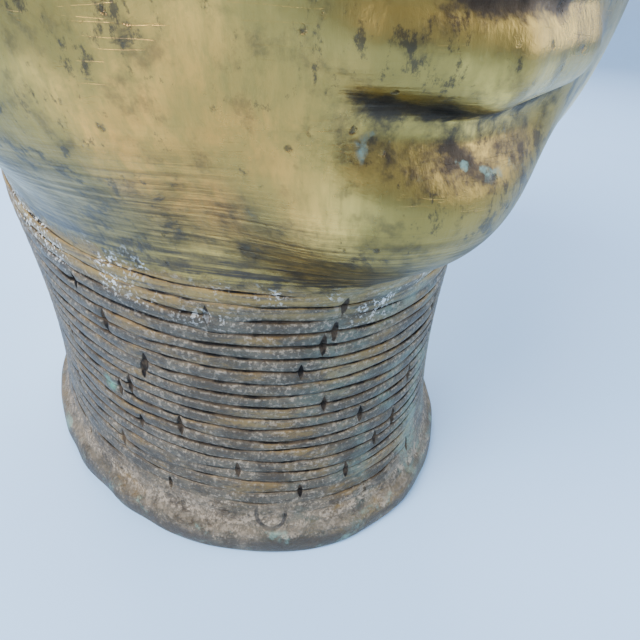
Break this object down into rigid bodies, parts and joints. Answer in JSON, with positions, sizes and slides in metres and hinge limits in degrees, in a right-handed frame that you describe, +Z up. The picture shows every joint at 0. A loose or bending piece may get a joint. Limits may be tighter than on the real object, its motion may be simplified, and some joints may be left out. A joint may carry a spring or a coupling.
{
  "type": "bronze head sculpture",
  "caption": "Life-size cast metal head with a calm face, close cap, ringed neck and flared oval base; stands on its flat underside.",
  "frame": {"origin": "centre of the neck's oval on the flat underside", "axes": "+Z up, -Y the way the face looks, +X to the head's left"},
  "size_m": [0.1598, 0.2105, 0.2874],
  "materials": {
    "bronze": "cast brass-coloured bronze, worn golden on the face, dark brown and grey-green patina on the ringed neck"
  },
  "bodies": {
    "root": {"bronze_head": "bronze"}
  },
  "joints": []
}
